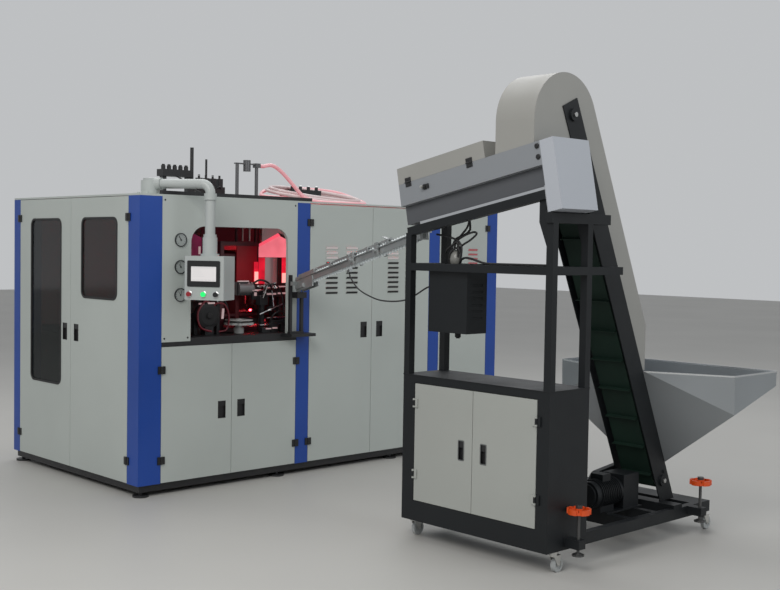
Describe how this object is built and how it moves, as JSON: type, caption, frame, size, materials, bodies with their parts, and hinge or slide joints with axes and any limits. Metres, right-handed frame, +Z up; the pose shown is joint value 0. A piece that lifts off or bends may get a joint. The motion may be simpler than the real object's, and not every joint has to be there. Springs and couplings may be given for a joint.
{
  "type": "blow moulding machine",
  "caption": "Stretch blow moulding machine with swing-arm control box and doors, fed by a hopper, an inclined cleated belt, an orienting unit and a gravity chute.",
  "frame": {"origin": "on the floor, under the middle of the whole line's box", "axes": "+X runs right along the machine's front, +Y goes back from the feeder to the machine, +Z up"},
  "size_m": [3.2934, 4.6944, 2.443],
  "materials": {
    "panel": "satin",
    "blue": "satin",
    "black": "satin",
    "charcoal": "satin",
    "unit_grey": "satin",
    "steel": "brushed",
    "machine_grey": "satin",
    "mould_red": "satin",
    "window": "gloss",
    "lamp": "gloss",
    "belt": "matte",
    "white_plastic": "matte",
    "hose": "gloss",
    "cable": "matte",
    "button_red": "gloss",
    "button_green": "gloss",
    "button_black": "gloss",
    "gauge": "polished",
    "hmi": "satin",
    "orange": "satin",
    "zinc": "satin",
    "caster": "satin",
    "aluminium": "satin"
  },
  "bodies": {
    "root": {"base_frame": "black", "corner_posts": "blue", "housing_panels": "panel", "front_fascia": "panel", "work_table": "black", "pressure_gauges": "gauge", "door_hinges": "black", "oven_housing": "machine_grey", "oven_lamps": "lamp", "blow_frame": "machine_grey", "roof_valves": "black", "feeder_frame": "charcoal", "electric_box": "charcoal", "elevator_rails": "charcoal", "elevator_cover": "unit_grey", "elevator_belt": "belt", "hopper": "steel", "gear_motor": "black", "orienting_trough": "unit_grey", "chute": "aluminium", "air_hose": "hose", "sensor_cable": "cable", "feeder_cables": "cable"},
    "end_door_rear": {"end_door_rear": "panel", "end_window_rear": "window"},
    "end_door_front": {"end_door_front": "panel", "end_window_front": "window"},
    "lower_door_left": {"lower_door_left": "panel"},
    "lower_door_right": {"lower_door_right": "panel"},
    "tall_door_left": {"tall_door_left": "panel"},
    "tall_door_right": {"tall_door_right": "panel"},
    "side_door": {"side_door": "panel"},
    "hmi_arm": {"hmi_arm": "hmi"},
    "hmi_box": {"hmi_box": "hmi"},
    "stop_button": {"stop_button": "button_red"},
    "start_button": {"start_button": "button_green"},
    "mode_button": {"mode_button": "button_black"},
    "mould_left": {"mould_left": "mould_red"},
    "mould_right": {"mould_right": "mould_red"},
    "stretch_head": {"stretch_head": "zinc"},
    "star_wheel": {"star_wheel": "white_plastic"},
    "feeder_door_left": {"feeder_door_left": "panel"},
    "feeder_door_right": {"feeder_door_right": "panel"},
    "orienting_lid": {"orienting_lid": "unit_grey"},
    "roller_a": {"roller_a": "steel"},
    "roller_b": {"roller_b": "steel"},
    "drum_head": {"drum_head": "steel"},
    "drum_foot": {"drum_foot": "steel"},
    "caster_fork_1": {"caster_fork_1": "zinc"},
    "caster_fork_2": {"caster_fork_2": "zinc"},
    "caster_fork_3": {"caster_fork_3": "zinc"},
    "caster_fork_4": {"caster_fork_4": "zinc"},
    "caster_wheel_1": {"caster_wheel_1": "caster"},
    "caster_wheel_2": {"caster_wheel_2": "caster"},
    "caster_wheel_3": {"caster_wheel_3": "caster"},
    "caster_wheel_4": {"caster_wheel_4": "caster"},
    "jack_1": {"jack_1": "orange"},
    "jack_2": {"jack_2": "orange"},
    "jack_3": {"jack_3": "orange"},
    "jack_4": {"jack_4": "orange"}
  },
  "joints": [
    {"name": "lower_door_left_hinge", "type": "hinge", "parent": "root", "child": "lower_door_left", "pos_m": [-1.4718, 0.66025, 0.5], "axis": [0, 0, -1], "range_deg": [0, 110]},
    {"name": "lower_door_right_hinge", "type": "hinge", "parent": "root", "child": "lower_door_right", "pos_m": [-0.4058, 0.66025, 0.5], "axis": [0, 0, 1], "range_deg": [0, 95]},
    {"name": "tall_door_left_hinge", "type": "hinge", "parent": "root", "child": "tall_door_left", "pos_m": [-0.2928, 0.66025, 0.9], "axis": [0, 0, -1], "range_deg": [0, 95]},
    {"name": "tall_door_right_hinge", "type": "hinge", "parent": "root", "child": "tall_door_right", "pos_m": [0.8752, 0.66025, 0.9], "axis": [0, 0, 1], "range_deg": [0, 110]},
    {"name": "side_door_hinge", "type": "hinge", "parent": "root", "child": "side_door", "pos_m": [1.5302, 0.66025, 0.9], "axis": [0, 0, 1], "range_deg": [0, 110]},
    {"name": "end_door_rear_hinge", "type": "hinge", "parent": "root", "child": "end_door_rear", "pos_m": [-1.6403, 2.25375, 0.9], "axis": [0, 0, -1], "range_deg": [0, 110]},
    {"name": "end_door_front_hinge", "type": "hinge", "parent": "root", "child": "end_door_front", "pos_m": [-1.6403, 0.79775, 0.9], "axis": [0, 0, 1], "range_deg": [0, 110]},
    {"name": "hmi_arm_swivel", "type": "hinge", "parent": "root", "child": "hmi_arm", "pos_m": [-1.4633, 0.82725, 1.9], "axis": [0, 0, 1], "range_deg": [-115, 5]},
    {"name": "hmi_box_swivel", "type": "hinge", "parent": "hmi_arm", "child": "hmi_box", "pos_m": [-1.2563, 0.46871, 1.55], "axis": [0, 0, 1], "range_deg": [-160, 160]},
    {"name": "stop_button_press", "type": "slide", "parent": "hmi_box", "child": "stop_button", "axis": [0.866, 0.5, 0], "range_m": [0, 0.004], "stiffness_N_per_m": 300, "springref_m": -0.002},
    {"name": "start_button_press", "type": "slide", "parent": "hmi_box", "child": "start_button", "axis": [0.866, 0.5, 0], "range_m": [0, 0.004], "stiffness_N_per_m": 300, "springref_m": -0.002},
    {"name": "mode_button_press", "type": "slide", "parent": "hmi_box", "child": "mode_button", "axis": [0.866, 0.5, 0], "range_m": [0, 0.004], "stiffness_N_per_m": 300, "springref_m": -0.002},
    {"name": "mould_left_slide", "type": "slide", "parent": "root", "child": "mould_left", "axis": [1, 0, 0], "range_m": [-0.09, 0.0295]},
    {"name": "mould_right_slide", "type": "slide", "parent": "root", "child": "mould_right", "axis": [1, 0, 0], "range_m": [-0.0295, 0.09]},
    {"name": "stretch_head_slide", "type": "slide", "parent": "root", "child": "stretch_head", "axis": [0, 0, 1], "range_m": [-0.09, 0.25]},
    {"name": "star_wheel_spin", "type": "hinge", "parent": "root", "child": "star_wheel", "pos_m": [-0.7633, 0.83725, 1.039], "axis": [0, 0, 1], "continuous": true},
    {"name": "feeder_door_left_hinge", "type": "hinge", "parent": "root", "child": "feeder_door_left", "pos_m": [-1.0283, -1.11125, 0.5], "axis": [0, 0, -1], "range_deg": [0, 110]},
    {"name": "feeder_door_right_hinge", "type": "hinge", "parent": "root", "child": "feeder_door_right", "pos_m": [-1.0283, -1.94825, 0.5], "axis": [0, 0, 1], "range_deg": [0, 110]},
    {"name": "lid_hinge", "type": "hinge", "parent": "root", "child": "orienting_lid", "pos_m": [-1.038, -1.24472, 1.95507], "axis": [0, -0.9816, 0.1908], "range_deg": [0, 100]},
    {"name": "roller_a_spin", "type": "hinge", "parent": "root", "child": "roller_a", "pos_m": [-0.9293, -1.45173, 1.93826], "axis": [0, -0.9816, 0.1908], "continuous": true},
    {"name": "roller_b_spin", "type": "hinge", "parent": "root", "child": "roller_b", "pos_m": [-0.8573, -1.45173, 1.93826], "axis": [0, -0.9816, 0.1908], "continuous": true},
    {"name": "drum_head_spin", "type": "hinge", "parent": "root", "child": "drum_head", "pos_m": [-0.7388, -1.77925, 2.23917], "axis": [0, 1, 0], "continuous": true},
    {"name": "drum_foot_spin", "type": "hinge", "parent": "root", "child": "drum_foot", "pos_m": [0.1327, -1.77925, 0.3], "axis": [0, 1, 0], "continuous": true},
    {"name": "caster_swivel_1", "type": "hinge", "parent": "root", "child": "caster_fork_1", "pos_m": [-0.9403, -1.04275, 0.09], "axis": [0, 0, 1], "continuous": true},
    {"name": "caster_wheel_spin_1", "type": "hinge", "parent": "caster_fork_1", "child": "caster_wheel_1", "pos_m": [-0.9153, -1.04275, 0.0375], "axis": [0, 1, 0], "continuous": true},
    {"name": "caster_swivel_2", "type": "hinge", "parent": "root", "child": "caster_fork_2", "pos_m": [-0.9403, -2.00275, 0.09], "axis": [0, 0, 1], "continuous": true},
    {"name": "caster_wheel_spin_2", "type": "hinge", "parent": "caster_fork_2", "child": "caster_wheel_2", "pos_m": [-0.9153, -2.00275, 0.0375], "axis": [0, 1, 0], "continuous": true},
    {"name": "caster_swivel_3", "type": "hinge", "parent": "root", "child": "caster_fork_3", "pos_m": [0.4117, -2.00275, 0.09], "axis": [0, 0, 1], "continuous": true},
    {"name": "caster_wheel_spin_3", "type": "hinge", "parent": "caster_fork_3", "child": "caster_wheel_3", "pos_m": [0.4367, -2.00275, 0.0375], "axis": [0, 1, 0], "continuous": true},
    {"name": "caster_swivel_4", "type": "hinge", "parent": "root", "child": "caster_fork_4", "pos_m": [0.4117, -1.04275, 0.09], "axis": [0, 0, 1], "continuous": true},
    {"name": "caster_wheel_spin_4", "type": "hinge", "parent": "caster_fork_4", "child": "caster_wheel_4", "pos_m": [0.4367, -1.04275, 0.0375], "axis": [0, 1, 0], "continuous": true},
    {"name": "jack_slide_1", "type": "slide", "parent": "root", "child": "jack_1", "axis": [0, 0, 1], "range_m": [-0.085, 0]},
    {"name": "jack_slide_2", "type": "slide", "parent": "root", "child": "jack_2", "axis": [0, 0, 1], "range_m": [-0.085, 0]},
    {"name": "jack_slide_3", "type": "slide", "parent": "root", "child": "jack_3", "axis": [0, 0, 1], "range_m": [-0.085, 0]},
    {"name": "jack_slide_4", "type": "slide", "parent": "root", "child": "jack_4", "axis": [0, 0, 1], "range_m": [-0.085, 0]}
  ],
  "couplings": [
    {"joint": "mould_right_slide", "follows": "mould_left_slide", "ratio": -1},
    {"joint": "roller_b_spin", "follows": "roller_a_spin", "ratio": -1},
    {"joint": "drum_head_spin", "follows": "drum_foot_spin", "ratio": 1}
  ]
}
